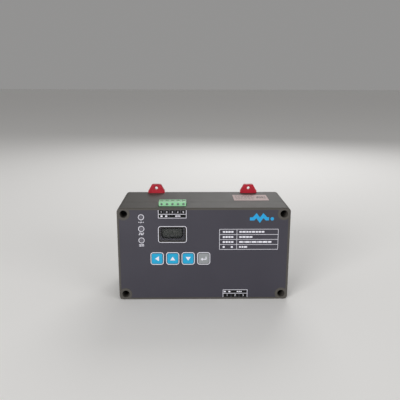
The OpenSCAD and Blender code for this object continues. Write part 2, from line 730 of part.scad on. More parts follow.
// Points round the wire at turn t of a latch spring
function coil_ring(t, cx) = [for (k = [0:5]) let (
        a = 360 * t, b = 60 * k,
        rr = spring_r + wire_r * cos(b))
    [cx + rr * cos(a), spring_y + rr * sin(a),
     spring_z0 + wire_r + 0.02 + (spring_len - 2 * wire_r - 0.04) * t / spring_turns + wire_r * sin(b)]];

module latch_spring(cx) color("#b9bcc0") {
    steps = spring_turns * 12;
    rings = [for (i = [0:steps]) coil_ring(i / 12, cx)];
    polyhedron(
        points = [for (ring = rings, p = ring) p],
        faces = concat(
            [[for (k = [0:5]) k]],
            [for (i = [0:steps - 1], k = [0:5])
                [6 * i + k, 6 * (i + 1) + k, 6 * (i + 1) + (k + 1) % 6, 6 * i + (k + 1) % 6]],
            [[for (k = [5:-1:0]) 6 * steps + k]]),
        convexity = 8);
}

// --- Paper label on top ---

label_w = 34.2;
label_d = 24;
label_y = front_y + 30;
label_x = body_w / 2 - 49.8;
module serial_label() color("#d9cfcb") translate([0, 0, top_z])
    linear_extrude(0.15)
        translate([label_x + label_w / 2, label_y + label_d / 2]) plate(label_w, label_d, 0.6);

base_shell();
front_cover();
overlay_film();
display_lens();
display_glass();
display_board();
display_pins();
key(0);  // key_back
key(1);  // key_up
key(2);  // key_down
key(3, "#96a0a5");  // key_enter
switch_plunger(0);  // switch_plunger_back
switch_plunger(1);  // switch_plunger_up
switch_plunger(2);  // switch_plunger_down
switch_plunger(3);  // switch_plunger_enter
key_switches();
front_board();
front_board_screws();
indicator_lens(0);  // indicator_lens_power
indicator_lens(1);  // indicator_lens_test
indicator_lens(2);  // indicator_lens_link
indicator_leds();
main_board();
main_board_screws();
board_link();
controller_chip();
interface_chips();
transformer_core();
transformer_winding();
relays();
capacitors();
supply_module();
supply_header();
supply_header_pins();
supply_plug();
plug_contacts();
clamp_screw(0);  // clamp_screw_1
clamp_screw(1);  // clamp_screw_2
clamp_screw(2);  // clamp_screw_3
clamp_screw(3);  // clamp_screw_4
clamp_screw(4);  // clamp_screw_5
clamp_cage(0);  // clamp_cage_1
clamp_cage(1);  // clamp_cage_2
clamp_cage(2);  // clamp_cage_3
clamp_cage(3);  // clamp_cage_4
clamp_cage(4);  // clamp_cage_5
measure_header();
measure_header_pins();
cover_screws();
cover_inserts();
latch(latch_xs[0]);  // latch_left
latch(latch_xs[1]);  // latch_right
latch_spring(latch_xs[0]);  // latch_spring_left
latch_spring(latch_xs[1]);  // latch_spring_right
serial_label();
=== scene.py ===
import math
import bmesh
import bpy
import numpy as np
from mathutils import Matrix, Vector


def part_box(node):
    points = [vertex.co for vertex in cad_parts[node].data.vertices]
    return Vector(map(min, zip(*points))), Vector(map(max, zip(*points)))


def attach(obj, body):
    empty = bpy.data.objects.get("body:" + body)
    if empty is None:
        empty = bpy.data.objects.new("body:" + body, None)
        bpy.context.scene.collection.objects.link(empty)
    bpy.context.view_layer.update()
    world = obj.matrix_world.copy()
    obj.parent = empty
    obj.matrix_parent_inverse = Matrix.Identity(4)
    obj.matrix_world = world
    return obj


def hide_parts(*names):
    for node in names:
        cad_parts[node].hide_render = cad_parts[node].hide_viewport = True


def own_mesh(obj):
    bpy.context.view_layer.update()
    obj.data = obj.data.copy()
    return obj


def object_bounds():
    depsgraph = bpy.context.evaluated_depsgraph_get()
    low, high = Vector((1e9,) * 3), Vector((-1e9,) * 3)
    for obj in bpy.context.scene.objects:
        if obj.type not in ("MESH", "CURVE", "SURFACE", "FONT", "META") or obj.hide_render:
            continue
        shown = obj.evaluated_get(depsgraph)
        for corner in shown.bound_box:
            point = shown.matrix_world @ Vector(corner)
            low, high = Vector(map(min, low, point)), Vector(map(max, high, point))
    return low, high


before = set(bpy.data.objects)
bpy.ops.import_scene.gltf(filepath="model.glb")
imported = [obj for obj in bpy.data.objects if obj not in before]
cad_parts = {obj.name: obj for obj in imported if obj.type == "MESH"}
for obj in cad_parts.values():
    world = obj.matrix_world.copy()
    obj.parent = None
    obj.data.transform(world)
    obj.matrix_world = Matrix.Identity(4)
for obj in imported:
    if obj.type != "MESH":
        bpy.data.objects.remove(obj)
cad_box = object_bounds()
mm = 0.001

# --- Camera ---
# The instrument is looked down on from a little to the left of its middle, from about an
# arm's length away.
eye = np.array([-11.54, -496.48, 153.32]) * mm
pitch, yaw, roll = 0.2291, 0.0181, 0.0027
ahead = np.array([math.sin(yaw) * math.cos(pitch), math.cos(yaw) * math.cos(pitch), -math.sin(pitch)])
across = np.array([math.cos(yaw), -math.sin(yaw), 0.0])
upward = np.cross(across, ahead)
across, upward = (math.cos(roll) * across + math.sin(roll) * upward,
                  math.cos(roll) * upward - math.sin(roll) * across)
camera = bpy.data.objects.new("camera", bpy.data.cameras.new("camera"))
camera.data.sensor_width = 36.0
camera.data.lens = 43.92
camera.data.clip_start = 0.01
camera.data.clip_end = 100.0
turned_view = np.eye(4)
turned_view[:3, :4] = np.stack([across, upward, -ahead, eye], axis=1)
camera.matrix_world = Matrix(turned_view.tolist())
bpy.context.scene.collection.objects.link(camera)
bpy.context.scene.camera = camera


# --- Studio ---
# A plain pale floor under the housing, a pale room, and four soft square lamps: a strong one in
# front on the left, a weaker one in front on the right, a faint one overhead and one behind.
def srgb(code):
    """Turns an sRGB hex colour into the linear red, green, blue and alpha that the shaders take, by
    the sRGB standard's curve: straight up to 0.04045, and the power 2.4 of a shifted value above."""
    value = np.array([int(code[i:i + 2], 16) for i in (1, 3, 5)]) / 255
    linear = np.where(value <= 0.04045, value / 12.92, ((value + 0.055) / 1.055) ** 2.4)
    return (*linear.tolist(), 1.0)


def add(tree, kind, inputs=None, **settings):
    """Adds a node, gives it its settings, and sets or links each named input."""
    made = tree.nodes.new(kind)
    for key, value in settings.items():
        setattr(made, key, value)
    for key, value in (inputs or {}).items():
        if isinstance(value, bpy.types.NodeSocket):
            tree.links.new(value, made.inputs[key])
        else:
            made.inputs[key].default_value = value
    return made


def new_material(name, colour, roughness, **sockets):
    """A material whose shader has these constant values. Returns the material, its tree and its shader."""
    made = bpy.data.materials.new(name)
    made.use_nodes = True
    made.diffuse_color = srgb(colour)
    shader = made.node_tree.nodes["Principled BSDF"]
    shader.inputs["Base Color"].default_value = srgb(colour)
    shader.inputs["Roughness"].default_value = roughness
    for key, value in sockets.items():
        shader.inputs[key.replace("_", " ")].default_value = value
    return made, made.node_tree, shader


floor_z = cad_box[0].z
floor_mesh = bpy.data.meshes.new("floor")
reach = 30.0
floor_mesh.from_pydata([(-reach, -reach, floor_z), (reach, -reach, floor_z), (reach, reach, floor_z),
                        (-reach, reach, floor_z)], [], [(0, 1, 2, 3)])
floor = bpy.data.objects.new("floor", floor_mesh)
bpy.context.scene.collection.objects.link(floor)
floor_mesh.materials.append(new_material("painted floor", "#f3f2f0", 0.75)[0])

room = bpy.data.worlds.new("pale room")
room.use_nodes = True
room.node_tree.nodes["Background"].inputs["Color"].default_value = srgb("#eeedec")
room.node_tree.nodes["Background"].inputs["Strength"].default_value = 0.34
bpy.context.scene.world = room
bpy.context.scene.view_settings.view_transform = "Standard"


def lamp(name, place, size, power):
    """A square area lamp at that place, pointed at the middle of the housing."""
    made = bpy.data.objects.new(name, bpy.data.lights.new(name, "AREA"))
    made.data.size = size
    made.data.energy = power
    back = np.array(place) / np.linalg.norm(place)
    side = np.cross([0.0, 0.0, 1.0], back)
    side = side / np.linalg.norm(side)
    pose = np.eye(4)
    pose[:3, :4] = np.stack([side, np.cross(back, side), back, np.array(place)], axis=1)
    made.matrix_world = Matrix(pose.tolist())
    bpy.context.scene.collection.objects.link(made)


lamp("key_lamp", (-1.2, -1.9, 0.6), 1.1, 38.0)
lamp("fill_lamp", (1.5, -1.4, 0.4), 1.2, 14.0)
lamp("rim_lamp", (0.0, -0.6, 1.2), 0.4, 0.8)
lamp("back_lamp", (0.2, 0.9, 0.7), 0.6, 4.0)


# --- Housing: rear casing and front cover ---
# Two shells of ABS, injection moulded in a tool with a spark-eroded face, which leaves a fine
# even grain and a soft sheen. Every outer edge is broken by the tool's own small radius.
def cast_edges(node, width, angle=35.0, segments=3):
    """Rounds the sharp edges of a CAD node: its loose triangles are welded, flat ones are joined
    into whole faces, and the edges left are bevelled."""
    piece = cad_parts[node]
    weld = piece.modifiers.new("weld", "WELD")
    weld.merge_threshold = 0.002 * mm
    flat = piece.modifiers.new("flat_faces", "DECIMATE")
    flat.decimate_type = "DISSOLVE"
    flat.angle_limit = math.radians(0.5)
    bevel = piece.modifiers.new("edges", "BEVEL")
    bevel.width = width
    bevel.segments = segments
    bevel.limit_method = "ANGLE"
    bevel.angle_limit = math.radians(angle)
    bevel.harden_normals = True
    return piece


def paint(material, *nodes):
    """Gives each of these CAD nodes that one material."""
    for node in nodes:
        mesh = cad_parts[node].data
        mesh.materials.clear()
        mesh.materials.append(material)


def compute(tree, operation, first, second):
    """One step of arithmetic on two values or sockets. Returns the answer's socket."""
    return add(tree, "ShaderNodeMath", {0: first, 1: second}, operation=operation).outputs[0]


def speckle(tree, fine_size, broad_size):
    """Grain of the fine size in mm, and the same grain added to clouds of the broad size."""
    where = add(tree, "ShaderNodeTexCoord").outputs["Object"]
    fine = add(tree, "ShaderNodeTexNoise", {"Vector": where, "Scale": 1 / (fine_size * mm),
                                            "Detail": 3.0, "Roughness": 0.6}).outputs["Fac"]
    broad = add(tree, "ShaderNodeTexNoise", {"Vector": where, "Scale": 1 / (broad_size * mm),
                                             "Detail": 2.0}).outputs["Fac"]
    return fine, compute(tree, "ADD", fine, broad)


def speckle_between(tree, mixed, low, high):
    """Stretches added speckle, taken to run from 0.6 to 1.4, so that it runs from low to high."""
    return add(tree, "ShaderNodeMapRange", {"Value": mixed, "From Min": 0.6, "From Max": 1.4,
                                            "To Min": low, "To Max": high}).outputs[0]


def grain(tree, shader, size, depth, tone=0.06, gloss=0.05, broad=20.0, colour=None):
    """Speckle of that size in the colour, the gloss and the height. colour is a socket that the
    speckle darkens and lightens, in place of the shader's own constant."""
    base = shader.inputs["Base Color"].default_value[:3] if colour is None else colour
    rough = shader.inputs["Roughness"].default_value
    fine, mixed = speckle(tree, size, broad)
    shade = speckle_between(tree, mixed, 1 - tone, 1 + tone)
    tinted = add(tree, "ShaderNodeVectorMath", {0: base, "Scale": shade}, operation="SCALE")
    tree.links.new(tinted.outputs[0], shader.inputs["Base Color"])
    sheen = speckle_between(tree, mixed, rough - gloss, rough + gloss)
    tree.links.new(sheen, shader.inputs["Roughness"])
    bump = add(tree, "ShaderNodeBump", {"Height": fine, "Distance": depth * mm, "Strength": 0.6})
    tree.links.new(bump.outputs[0], shader.inputs["Normal"])


# Spark-eroded ABS: the grain is about 0.4 mm across, so highlights break up a little
abs_grey, tree, shader = new_material("spark-eroded grey ABS", "#474440", 0.55, IOR=1.53,
                                      Specular_IOR_Level=0.3)
grain(tree, shader, 0.4, 0.03, tone=0.07)
paint(abs_grey, "base_shell", "front_cover")
cast_edges("base_shell", 0.35 * mm)
cast_edges("front_cover", 0.6 * mm)

# --- Printed film ---
# A polycarbonate film with a velvet face, printed grey-violet on its back and glued into the
# cover's recess. The light print is screen ink, and stands as a layer of its own on the face.
film_grey, tree, shader = new_material("velvet polycarbonate film", "#302e38", 0.45, IOR=1.58,
                                       Specular_IOR_Level=0.4)
grain(tree, shader, 0.22, 0.006, tone=0.04)
paint(film_grey, "overlay_film")


def loft(rings, closed=False):
    """Skins a stack of rings, each to the next. rings is an array (rings, points, 3). A closed
    stack joins its last ring to its first, and an open one has both ends filled."""
    count, points = rings.shape[:2]
    row, col = np.meshgrid(np.arange(count if closed else count - 1), np.arange(points), indexing="ij")
    beside, above = (col + 1) % points, (row + 1) % count
    quads = np.stack([row * points + col, row * points + beside, above * points + beside,
                      above * points + col], axis=-1).reshape(-1, 4).tolist()
    if not closed:
        quads += [list(range(points))[::-1], list(range((count - 1) * points, count * points))]
    return rings.reshape(-1, 3), quads


def build(name, solids, material, body, smooth=False):
    """Makes one object of several closed solids, each (points, faces), and lets it ride on a body."""
    starts = np.cumsum([0] + [len(points) for points, _ in solids])
    faces = [[int(start) + i for i in face] for (_, fs), start in zip(solids, starts) for face in fs]
    mesh = bpy.data.meshes.new(name)
    mesh.from_pydata(np.concatenate([points for points, _ in solids]).tolist(), [], faces)
    shape = bmesh.new()
    shape.from_mesh(mesh)
    bmesh.ops.recalc_face_normals(shape, faces=shape.faces)
    for face in shape.faces:
        face.smooth = smooth and len(face.verts) == 4
    shape.to_mesh(mesh)
    shape.free()
    mesh.materials.append(material)
    piece = bpy.data.objects.new(name, mesh)
    bpy.context.scene.collection.objects.link(piece)
    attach(piece, body)
    return piece


def arc(x, z, radius, start, end, points=12):
    """Points on a circle's arc between two angles in degrees."""
    turn = np.radians(np.linspace(start, end, points))
    return np.stack([x + radius * np.cos(turn), z + radius * np.sin(turn)], axis=1)


def circle(x, z, radius, points):
    """Points spread evenly round a circle."""
    return arc(x, z, radius, 0, 360, points + 1)[:-1]


def round_rect(x, z, width, height, radius, points=8):
    """The outline of a rectangle round (x, z) whose corners are quarter circles: of one radius, or of
    four, counted round from the upper right."""
    corners = zip(np.broadcast_to(radius, 4), (1, -1, -1, 1), (1, 1, -1, -1), (0, 90, 180, 270))
    return np.concatenate([
        arc(x + sx * (width / 2 - r), z + sz * (height / 2 - r), r, start, start + 90, points)
        for r, sx, sz, start in corners])


def line_edges(line, width, closed):
    """The two edges of a band along a line: each point moves half the width along the mean of its
    two stretches' normals, lengthened at corners so that the band keeps its width."""
    steps = np.roll(line, -1, axis=0) - line
    if not closed:
        steps[-1] = steps[-2]
    steps = steps / np.linalg.norm(steps, axis=1, keepdims=True)
    before = np.roll(steps, 1, axis=0)
    if not closed:
        before[0] = steps[0]
    mean = before + steps
    mean = mean / np.linalg.norm(mean, axis=1, keepdims=True)
    normal = np.stack([-mean[:, 1], mean[:, 0]], axis=1)
    stretch = 1 / np.maximum(np.sum(mean * steps, axis=1), 0.5)
    shift = normal * (stretch * width / 2)[:, None]
    return line + shift, line - shift


film_low, film_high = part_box("overlay_film")
face_y = film_low.y
ink_front, ink_back = face_y - 0.03 * mm, face_y + 0.01 * mm


def on_face(outline, y):
    """Puts a flat outline of (x, z) points at that depth."""
    return np.stack([outline[:, 0], np.full(len(outline), y), outline[:, 1]], axis=1)


def stroke(line, width, closed=False, front=ink_front, back=ink_back):
    """A printed line: a rectangle, as wide as the line and as deep as the ink, carried along it."""
    one, other = line_edges(np.asarray(line, float), width, closed)
    rings = np.stack([on_face(one, front), on_face(other, front),
                      on_face(other, back), on_face(one, back)], axis=1)
    return loft(rings, closed)


def patch(outline, front=ink_front, back=ink_back):
    """A printed area: its outline at the front of the ink and at the back, closed by both faces."""
    return loft(np.stack([on_face(outline, front), on_face(outline, back)]))


def bars(x, z, lengths, height, gap):
    """Short bars with rounded corners in a row that starts at x, in place of words."""
    ends = x + np.cumsum(np.asarray(lengths) + gap) - gap
    return [patch(round_rect(end - length / 2, z, length, height, height * 0.3, 4))
            for end, length in zip(ends, lengths)]


# Screen inks: thick, even coats with a slight orange peel
white_ink, tree, shader = new_material("white screen ink", "#d4d3dc", 0.5, IOR=1.5)
grain(tree, shader, 0.3, 0.003, tone=0.05)
# The black also serves for the painted shade round the display window
black_ink_and_shade, tree, shader = new_material("black screen ink and painted shade", "#050506", 0.6, IOR=1.5, Specular_IOR_Level=0.2)
grain(tree, shader, 0.3, 0.003, tone=0.1)
cyan_ink, tree, shader = new_material("cyan screen ink", "#0a90c6", 0.45, IOR=1.5)
grain(tree, shader, 0.3, 0.003, tone=0.05)

top_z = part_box("front_cover")[1].z
right_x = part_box("front_cover")[1].x
lens_low, lens_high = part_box("display_lens")
lens_x, lens_z = (lens_low.x + lens_high.x) / 2, (lens_low.z + lens_high.z) / 2
plug_low, plug_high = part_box("supply_plug")

# Frame round the display window, half of the gap clear of the lens on every side
window_line, window_gap, window_corner = 0.5 * mm, 0.1 * mm, 2.2 * mm
window_frame = round_rect(lens_x, lens_z, lens_high.x - lens_low.x + window_line + window_gap,
                          lens_high.z - lens_low.z + window_line + window_gap, window_corner)
white = [stroke(window_frame, window_line, True)]

# Rings round the indicators, each with a small sign below: mains, alarm, link
lamps = [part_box(f"indicator_lens_{name}") for name in ("power", "test", "link")]
lamp_x = (lamps[0][0].x + lamps[0][1].x) / 2
lamp_z = [(low.z + high.z) / 2 for low, high in lamps]
ring_radius, ring_line = 2.5 * mm, 0.5 * mm
white += [stroke(circle(lamp_x, z, ring_radius, 40), ring_line, True) for z in lamp_z]
sign_drop, sign_line, arrow_line = 4.75 * mm, 0.55 * mm, 0.5 * mm
sign_z = [z - sign_drop for z in lamp_z]
bolt = np.array([[0.7, 1.25], [-0.95, -0.2], [-0.1, -0.2], [-0.6, -1.25], [1.0, 0.25], [0.1, 0.25]]) * mm
white += [patch(bolt + [lamp_x, sign_z[0]])]
white += [stroke([[lamp_x + side * 1.4 * mm, sign_z[0]], [lamp_x + side * 2.5 * mm, sign_z[0]]], sign_line)
          for side in (-1, 1)]
pulse = np.array([[-2.5, -0.8], [-1.5, -0.8], [-1.5, 0.8], [0.0, 0.8], [0.0, -0.8], [1.5, -0.8], [1.5, 0.8],
                  [2.5, 0.8]]) * mm
white += [stroke(pulse + [lamp_x, sign_z[1]], sign_line)]
for side in (-1, 1):
    level, tip_half = side * 0.62, 0.72
    shaft = np.array([[-side * 2.4, level], [side * 1.2, level]]) * mm
    tip = np.array([[side * 2.5, level], [side * 0.9, level + tip_half],
                    [side * 0.9, level - tip_half]]) * mm
    white += [stroke(shaft + [lamp_x, sign_z[2]], arrow_line), patch(tip + [lamp_x, sign_z[2]])]

# Table of ratings: ruled cells with bars in place of words
table_x0, table_x1 = right_x - 65.5 * mm, right_x - 11.0 * mm
rules = top_z - np.array([20.4, 25.5, 30.3, 35.2, 40.0]) * mm
divider_x = table_x0 + 16.1 * mm
rule_w = 0.36 * mm
label_height, value_height, word_gap = 1.7 * mm, 1.6 * mm, 0.5 * mm
white += [stroke(round_rect((table_x0 + table_x1) / 2, (rules[0] + rules[-1]) / 2, table_x1 - table_x0,
                            rules[0] - rules[-1], 0.5 * mm, 4), rule_w, True)]
white += [stroke([[table_x0, z], [table_x1, z]], rule_w) for z in rules[1:-1]]
white += [stroke([[divider_x, rules[0]], [divider_x, rules[-1]]], rule_w)]
words = [([2.1, 2.0, 2.2, 2.1], [2.3, 3.1, 2.2, 1.9, 3.2, 2.1, 2.4, 2.6]),
         ([2.0, 2.2, 2.1, 2.0], [2.4, 3.0, 2.6, 2.8]),
         ([2.2, 2.1, 2.0, 2.2], [3.6, 1.0, 4.2, 1.0, 4.1, 1.0, 3.4, 4.6, 3.3]),
         ([2.0], [1.9, 1.8, 2.9])]
for (label, value), high, low in zip(words, rules, rules[1:]):
    row_z = (high + low) / 2
    white += bars(table_x0 + 3.0 * mm, row_z, np.array(label) * mm, label_height, word_gap)
    white += bars(divider_x + 2.2 * mm, row_z, np.array(value) * mm, value_height, word_gap)
# The last row's label has a second word, further along
white += bars(table_x0 + 10.6 * mm, (rules[-2] + rules[-1]) / 2, [2.0 * mm], label_height, word_gap)


# Terminal legends: black cells ruled in white, with the poles' numbers
def digit(number, x, z, height):
    """The centre line of a numeral round (x, z), as straight stretches and arcs that are given in
    shares of its height."""
    lines = {
        1: [[-0.2, 0.78], [0.06, 1.0], [0.06, 0.0]],
        2: np.concatenate([arc(0, 0.7, 0.3, 165, -35, 9), [[-0.3, 0.0], [0.34, 0.0]]]),
        3: np.concatenate([arc(0, 0.75, 0.25, 150, -80, 8), arc(0, 0.25, 0.29, 80, -150, 9)]),
        4: [[0.14, 0.0], [0.14, 1.0], [-0.3, 0.3], [0.34, 0.3]],
        5: np.concatenate([[[0.27, 1.0], [-0.22, 1.0], [-0.26, 0.56]], arc(0, 0.31, 0.31, 110, -150, 9)]),
    }
    return np.array(lines[number]) * height + [x, z - height / 2]


def legend(x, edge_z, way, poles, pitch, split):
    """A two-row legend beside an edge of the film: a row of numbered cells, one to a pole, and a
    row of two wide cells, the first as wide as split poles. way is 1 where the edge is the upper
    one and -1 where it is the lower. Returns the black solids and the white ones."""
    width = poles * pitch
    near, far = edge_z - way * 2.0 * mm, edge_z - way * 5.75 * mm
    middle, end = edge_z - way * 4.0 * mm, edge_z - way * 7.6 * mm
    near_height, far_height = 3.6 * mm, 2.9 * mm
    ground_front = face_y - 0.015 * mm
    xs = x + (np.arange(poles) - (poles - 1) / 2) * pitch
    cut = x - width / 2 + split * pitch
    ground = [patch(round_rect(px, near, pitch - 0.6 * mm, near_height, 0.9 * mm, 5), ground_front, ink_back)
              for px in xs]
    wide = [(x - width / 2 + 0.3 * mm, cut - 0.2 * mm), (cut + 0.2 * mm, x + width / 2 - 0.3 * mm)]
    ground += [patch(round_rect((a + b) / 2, far, b - a, far_height, 0.3 * mm, 3), ground_front, ink_back)
               for a, b in wide]
    side, foot, line = width / 2 + 0.1 * mm, near + way * 1.8 * mm, 0.42 * mm
    light = [stroke([[x - side, foot], [x - side, end], [x + side, end], [x + side, foot]], line),
             stroke([[x - side, middle], [x + side, middle]], line)]
    digit_height, digit_line = 1.5 * mm, 0.3 * mm
    light += [stroke(digit(n + 1, px, near, digit_height), digit_line) for n, px in enumerate(xs)]
    first, second = [(a + b) / 2 for a, b in wide]
    light += bars(first - 3.2 * mm, far, [1.9 * mm, 1.9 * mm], 1.5 * mm, 2.4 * mm)
    light += bars(second - 2.2 * mm, far, [1.5 * mm, 1.2 * mm, 1.1 * mm], 1.3 * mm, 0.4 * mm)
    return ground, light


film_top, film_foot = film_high.z, film_low.z
supply_pitch, measure_pitch = 5.08 * mm, 7.62 * mm
ground, light = legend((plug_low.x + plug_high.x) / 2, film_top, 1, 5, supply_pitch, 2)
socket_low, socket_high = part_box("measure_header")
lower_ground, lower_light = legend((socket_low.x + socket_high.x) / 2, film_foot, -1, 3, measure_pitch, 1)
white += light + lower_light
build("printed_legend_ground", ground + lower_ground, black_ink_and_shade, "housing")

# Maker's field: a plain pulse and a dot
emblem_x, emblem_z = right_x - 26.7 * mm, top_z - 9.6 * mm
beat = np.array([[-11.0, -0.9], [-7.6, -0.9], [-5.0, 2.2], [-1.8, -2.2], [1.4, 2.2], [4.2, -0.9],
                 [6.6, -0.9]]) * mm
beat_line, dot_radius = 3.0 * mm, 1.6 * mm
emblem = [stroke(beat + [emblem_x, emblem_z], beat_line),
          patch(circle(emblem_x + 9.6 * mm, emblem_z - 0.9 * mm, dot_radius, 32))]
build("printed_emblem", emblem, cyan_ink, "housing")

# Frames round the keys
keys = {name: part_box(f"key_{name}") for name in ("back", "up", "down", "enter")}
key_centre = {name: ((low.x + high.x) / 2, (low.z + high.z) / 2) for name, (low, high) in keys.items()}
key_frame, key_corner, key_line = 11.6 * mm, 2.3 * mm, 0.6 * mm
white += [stroke(round_rect(x, z, key_frame, key_frame, key_corner), key_line, True)
          for x, z in key_centre.values()]
build("printed_white", white, white_ink, "housing")

# --- Display ---
# A smoked acrylic lens, glued into a step in the cover, over a small liquid crystal glass that
# is grey while the instrument is off. A grey print behind the lens leaves a window over the
# picture area, and a black band is painted round that window for the shade in the step at
# its edge.
acrylic, tree, shader = new_material("smoked acrylic", "#1a1a1c", 0.05, IOR=1.49, Alpha=0.15)
lens_speckle = speckle(tree, 1.5, 12.0)[1]
tree.links.new(speckle_between(tree, lens_speckle, 0.03, 0.08), shader.inputs["Roughness"])
paint(acrylic, "display_lens")

mask_grey, tree, shader = new_material("matt grey glass print", "#3f3e46", 0.6, IOR=1.5)
grain(tree, shader, 0.3, 0.002, tone=0.05)
picture_x, picture_z = lens_x - 0.5 * mm, lens_z + 0.9 * mm
outer = round_rect(lens_x, lens_z, 23.1 * mm, 12.5 * mm, 1.0 * mm)
inner = round_rect(picture_x, picture_z, 19.8 * mm, 9.4 * mm, [1.2 * mm, 1.2 * mm, 3.6 * mm, 3.6 * mm])
mask_front, mask_back = lens_high.y + 0.01 * mm, lens_high.y + 0.06 * mm
mask = np.stack([on_face(outer, mask_front), on_face(inner, mask_front),
                 on_face(inner, mask_back), on_face(outer, mask_back)])
build("display_mask", [loft(mask, True)], mask_grey, "housing")
# Painted shade: a black band round the picture window stands for the shade in the step at the window's edge
window_shade_band = stroke(inner, 1.0 * mm, True, mask_front - 0.005 * mm, mask_front + 0.02 * mm)
build("display_painted_shade", [window_shade_band], black_ink_and_shade, "housing")

screen_glass, tree, shader = new_material("polarised display glass", "#3c3f3e", 0.3, IOR=1.52)
grain(tree, shader, 1.5, 0.0002, tone=0.03, gloss=0.02)
paint(screen_glass, "display_glass")
glass_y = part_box("display_glass")[0].y
picture_grey, tree, shader = new_material("unlit liquid crystal", "#434643", 0.3, IOR=1.52)
grain(tree, shader, 0.5, 0.0002, tone=0.03)
picture = patch(round_rect(picture_x, picture_z, 16.4 * mm, 5.6 * mm, 0.3 * mm),
                glass_y - 0.02 * mm, glass_y + 0.01 * mm)
build("display_picture_area", [picture], picture_grey, "housing")


def mix_colours(tree, share, first, second):
    """The first colour where the share is 0, and the second where it is 1."""
    made = add(tree, "ShaderNodeMix", {0: share}, data_type="RGBA")
    colour_inputs = [socket for socket in made.inputs if socket.type == "RGBA"]
    for socket, colour in zip(colour_inputs, (first, second)):
        if isinstance(colour, bpy.types.NodeSocket):
            tree.links.new(colour, socket)
        else:
            socket.default_value = colour
    return next(socket for socket in made.outputs if socket.type == "RGBA")


# Circuit boards are glass fibre under a coloured solder mask: the copper tracks show through
# as lighter lines, and the mask leaves tinned pads bare
bare_tin = srgb("#c4c6c2")


def circuit(tree, shader, mask_colour, track_colour, pad_spacing):
    """Tracks as the joints of a brick pattern with rows 1.3 mm high, and square pads at the centres
    of cells that are pad_spacing mm across. The pads are tinned, so they are metal."""
    where = add(tree, "ShaderNodeTexCoord").outputs["Object"]
    flat = add(tree, "ShaderNodeMapping", {"Vector": where, "Rotation": (math.radians(90), 0, 0)}).outputs[0]
    joints = add(tree, "ShaderNodeTexBrick", {
        "Vector": flat, "Color1": srgb(mask_colour), "Color2": srgb(mask_colour),
        "Mortar": srgb(track_colour), "Scale": 1 / mm, "Mortar Size": 0.11, "Brick Width": 5.3,
        "Row Height": 1.3}, offset=0.37, squash=0.6)
    cells = add(tree, "ShaderNodeTexVoronoi",
                {"Vector": flat, "Scale": 1 / (pad_spacing * mm), "Randomness": 0.45},
                voronoi_dimensions="2D", distance="CHEBYCHEV")
    pad_reach = 0.13
    pad = compute(tree, "LESS_THAN", cells.outputs["Distance"], pad_reach)
    tree.links.new(pad, shader.inputs["Metallic"])
    colour = mix_colours(tree, pad, joints.outputs["Color"], bare_tin)
    grain(tree, shader, 0.5, 0.01, tone=0.05, colour=colour)


board_blue, tree, shader = new_material("blue solder mask", "#1c3f75", 0.35, IOR=1.5)
circuit(tree, shader, "#1a3a6e", "#2c5593", 2.6)
paint(board_blue, "display_board")
gold, tree, shader = new_material("gold-plated brass", "#d4a93c", 0.25, Metallic=1.0)
grain(tree, shader, 0.2, 0.002)
paint(gold, "display_pins")

# --- Indicators ---
# Clear polycarbonate rods, a little smoky, with a flat head flush in the film. They carry the
# light of three diodes on the front board.
smoke, tree, shader = new_material("smoky polycarbonate", "#77747f", 0.1, IOR=1.58, Transmission_Weight=0.5)
grain(tree, shader, 0.4, 0.002)
paint(smoke, *[f"indicator_lens_{name}" for name in ("power", "test", "link")])
diode, tree, shader = new_material("milky epoxy", "#e4e6df", 0.2, IOR=1.55)
grain(tree, shader, 0.4, 0.002)
paint(diode, "indicator_leds")
cast_edges("indicator_leds", 0.4 * mm)

# --- Keys ---
# Moulded caps, blue for moving about and grey for enter, each with its sign printed in white.
# A cap runs in its slit in the cover, and its stem presses a key switch on the front board.
def inside(tree, where, corners):
    """1 inside a convex outline of (x, z) corners that runs to the left, and 0 outside: a point is
    inside where its distance from every side, along the side's inward normal, is more than 0."""
    least = None
    for (x0, z0), (x1, z1) in zip(corners, np.roll(corners, -1, axis=0)):
        length = math.hypot(x1 - x0, z1 - z0)
        normal = ((z0 - z1) / length, 0.0, (x1 - x0) / length)
        along = add(tree, "ShaderNodeVectorMath", {0: where, 1: normal}, operation="DOT_PRODUCT")
        depth = compute(tree, "SUBTRACT", along.outputs["Value"], x0 * normal[0] + z0 * normal[2])
        least = depth if least is None else compute(tree, "MINIMUM", least, depth)
    return compute(tree, "GREATER_THAN", least, 0.0)


arrow = np.array([[0.0, 2.0], [-2.4, -1.7], [2.4, -1.7]])
signs = {"back": [arrow @ np.array([[0, 1], [-1, 0]])], "up": [arrow], "down": [-arrow],
         "enter": [np.array([[-2.8, -0.6], [-0.9, -2.1], [-0.9, 0.9]]),
                   np.array([[-1.0, -1.0], [2.6, -1.0], [2.6, -0.2], [-1.0, -0.2]]),
                   np.array([[1.8, -0.6], [2.6, -0.6], [2.6, 1.9], [1.8, 1.9]])]}
cap_colours = {"back": "#0894bd", "up": "#0894bd", "down": "#0894bd", "enter": "#848789"}
for name, outlines in signs.items():
    cap, tree, shader = new_material(f"moulded ABS with the {name} sign", cap_colours[name], 0.34, IOR=1.53)
    where = add(tree, "ShaderNodeTexCoord").outputs["Object"]
    marked = None
    for outline in outlines:
        found = inside(tree, where, outline * mm + key_centre[name])
        marked = found if marked is None else compute(tree, "MAXIMUM", marked, found)
    signed = mix_colours(tree, marked, srgb(cap_colours[name]), srgb("#d4d3dc"))
    grain(tree, shader, 0.25, 0.006, tone=0.05, colour=signed)
    cast_edges(f"key_{name}", 0.4 * mm, segments=4)
    paint(cap, f"key_{name}")

nylon_black, tree, shader = new_material("black moulded nylon", "#202123", 0.45, IOR=1.53)
grain(tree, shader, 0.3, 0.01)
paint(nylon_black, "board_link", "key_switches")
cast_edges("key_switches", 0.15 * mm)
for name in keys:
    paint(nylon_black, f"switch_plunger_{name}")
    cast_edges(f"switch_plunger_{name}", 0.2 * mm)

